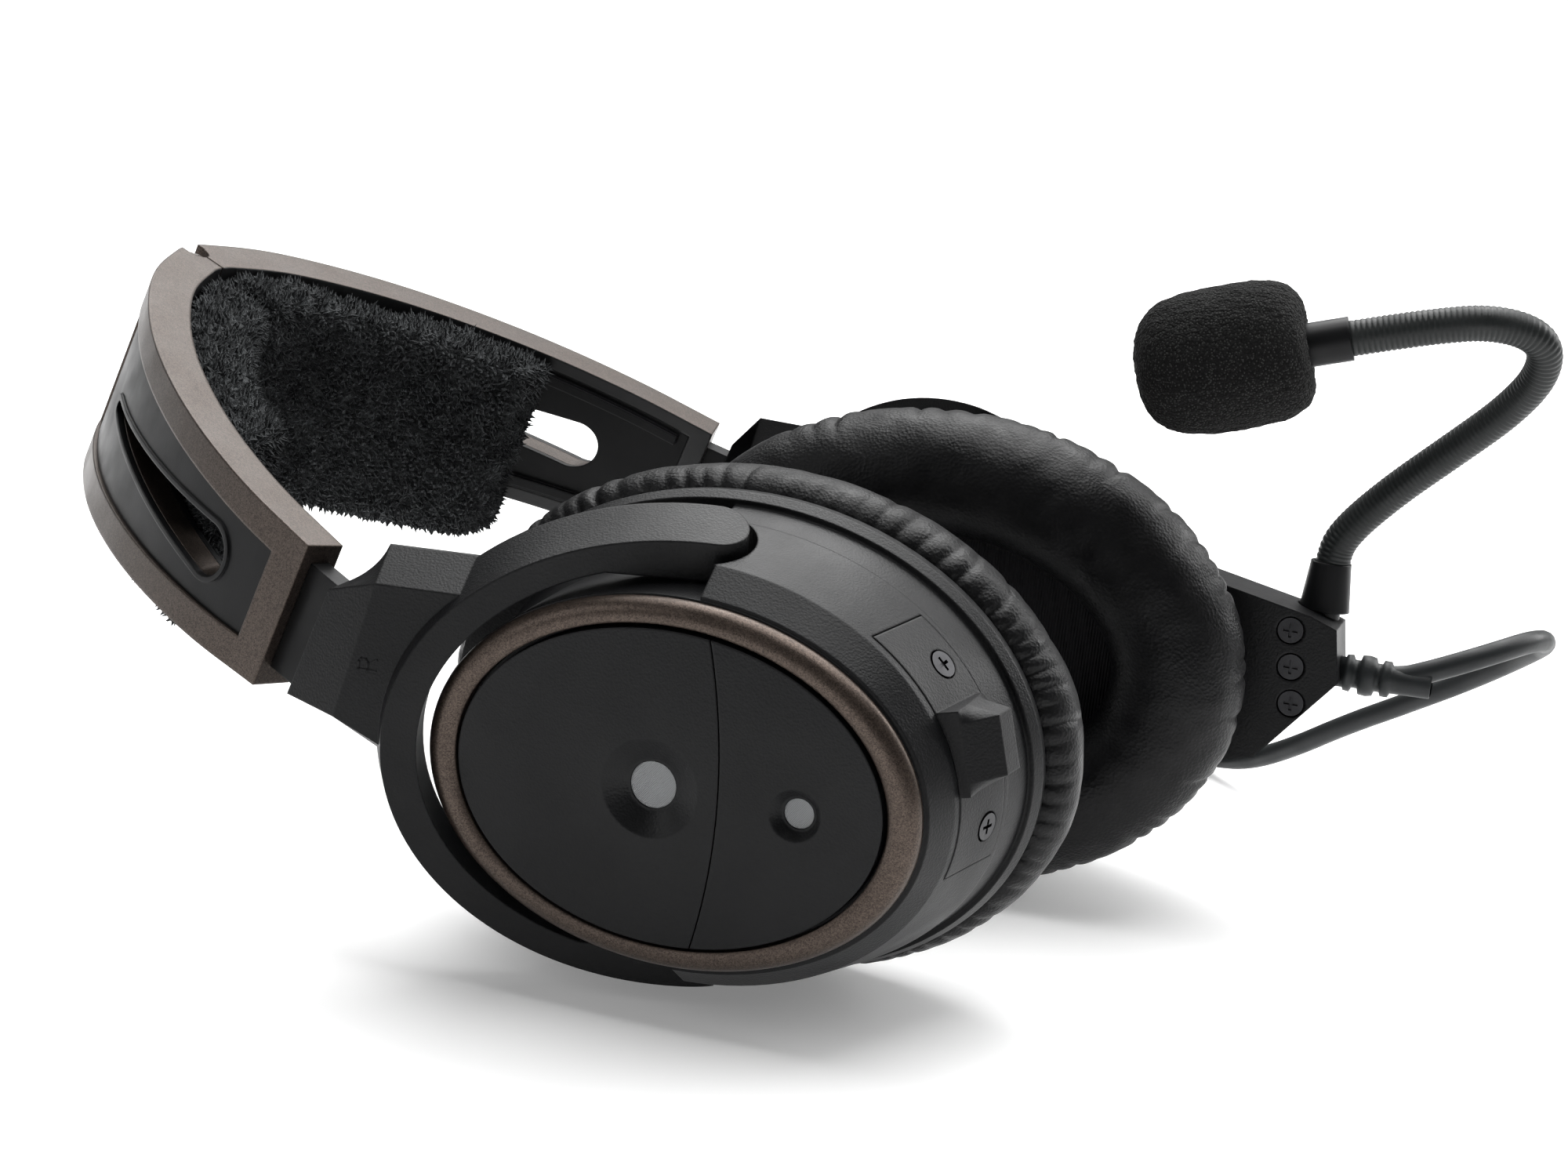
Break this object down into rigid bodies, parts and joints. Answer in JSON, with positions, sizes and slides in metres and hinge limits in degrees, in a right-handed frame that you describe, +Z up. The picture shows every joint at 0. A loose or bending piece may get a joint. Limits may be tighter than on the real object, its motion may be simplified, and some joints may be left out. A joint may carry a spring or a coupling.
{
  "type": "aviation headset",
  "caption": "Over-ear pilot's headset: hinged slotted headband, sliding forks, tilting cups with leather cushions, and a gooseneck boom microphone with a foam windscreen.",
  "frame": {"origin": "centre of the bottom of the headset's box, without its free cord, as it lies on the rear edges of its ear cups", "axes": "+X to the wearer's right, +Y towards the bottoms of the cups, +Z up, which is the wearer's front"},
  "size_m": [0.2564, 0.2544, 0.1189],
  "materials": {
    "frame_enamel": "fine metallic bronze enamel, satin",
    "satin_black": "satin moulded",
    "fleece": "deep pile fleece",
    "steel": "bright steel",
    "grained_black": "fine pebble grain",
    "trim_bronze": "metallic bronze, satin",
    "mesh_steel": "fine woven mesh",
    "driver_plastic": "moulded",
    "board_green": "solder mask",
    "scrim_cloth": "fine knit",
    "cushion_leather": "soft grained leather",
    "screw_steel": "black oxide",
    "gooseneck_rubber": "fine ribbed sleeve",
    "foam": "open cell foam",
    "cable_rubber": "matt sleeve",
    "connector_metal": "satin nickel"
  },
  "bodies": {
    "band_left": {"headband_frame_left": "frame_enamel", "headband_insert_left": "satin_black", "headband_liner_left": "satin_black", "crown_pad_left": "fleece", "crown_hinge_pin": "steel", "crown_torsion_spring": "steel"},
    "band_right": {"headband_frame_right": "frame_enamel", "headband_insert_right": "satin_black", "headband_liner_right": "satin_black", "crown_pad_right": "fleece"},
    "yoke_left": {"yoke_fork_left": "grained_black", "slider_stem_left": "satin_black", "pivot_pins_left": "steel"},
    "yoke_right": {"yoke_fork_right": "grained_black", "slider_stem_right": "satin_black", "pivot_pins_right": "steel"},
    "cup_left": {"housing_left": "grained_black", "trim_ring_left": "trim_bronze", "face_plate_main_left": "grained_black", "face_plate_minor_left": "grained_black", "vent_mesh_left": "mesh_steel", "baffle_plate_left": "satin_black", "driver_left": "driver_plastic", "circuit_board_left": "board_green", "ear_scrim_left": "scrim_cloth", "ear_cushion_left": "cushion_leather", "boom_module_left": "grained_black", "module_screws_left": "screw_steel", "cable_strain_relief": "cable_rubber", "cable": "cable_rubber", "cable_coil": "cable_rubber", "cable_connector": "connector_metal"},
    "cup_right": {"housing_right": "grained_black", "trim_ring_right": "trim_bronze", "face_plate_main_right": "grained_black", "face_plate_minor_right": "grained_black", "vent_mesh_right": "mesh_steel", "baffle_plate_right": "satin_black", "driver_right": "driver_plastic", "circuit_board_right": "board_green", "ear_scrim_right": "scrim_cloth", "ear_cushion_right": "cushion_leather", "port_cover_right": "grained_black", "port_screws_right": "screw_steel"},
    "boom": {"boom_collar": "satin_black", "gooseneck": "gooseneck_rubber", "mic_sleeve": "satin_black", "mic_capsule": "satin_black", "foam_windscreen": "foam"}
  },
  "joints": [
    {"name": "crown_hinge", "type": "hinge", "parent": "band_left", "child": "band_right", "pos_m": [0.00016, -0.11929, 0.07933], "axis": [0, -0.3123, -0.95], "range_deg": [0, 25], "stiffness_Nm_per_rad": 1.2, "springref_deg": -20.05},
    {"name": "slider_left", "type": "slide", "parent": "band_left", "child": "yoke_left", "axis": [-0.2924, 0.9085, -0.2987], "range_m": [-0.003, 0.0085]},
    {"name": "slider_right", "type": "slide", "parent": "band_right", "child": "yoke_right", "axis": [0.2924, 0.9085, -0.2987], "range_m": [-0.0065, 0.005]},
    {"name": "cup_tilt_left", "type": "hinge", "parent": "yoke_left", "child": "cup_left", "pos_m": [-0.05992, 0.0197, 0.04244], "axis": [0.0593, 0, -0.9982], "range_deg": [-3, 28]},
    {"name": "cup_tilt_right", "type": "hinge", "parent": "yoke_right", "child": "cup_right", "pos_m": [0.06126, 0.02288, 0.0414], "axis": [0.0593, 0, 0.9982], "range_deg": [-12, 18]},
    {"name": "boom_swivel", "type": "hinge", "parent": "cup_left", "child": "boom", "pos_m": [-0.06832, 0.08845, 0.05517], "axis": [0.0593, 0, -0.9982], "range_deg": [-45, 45]}
  ]
}
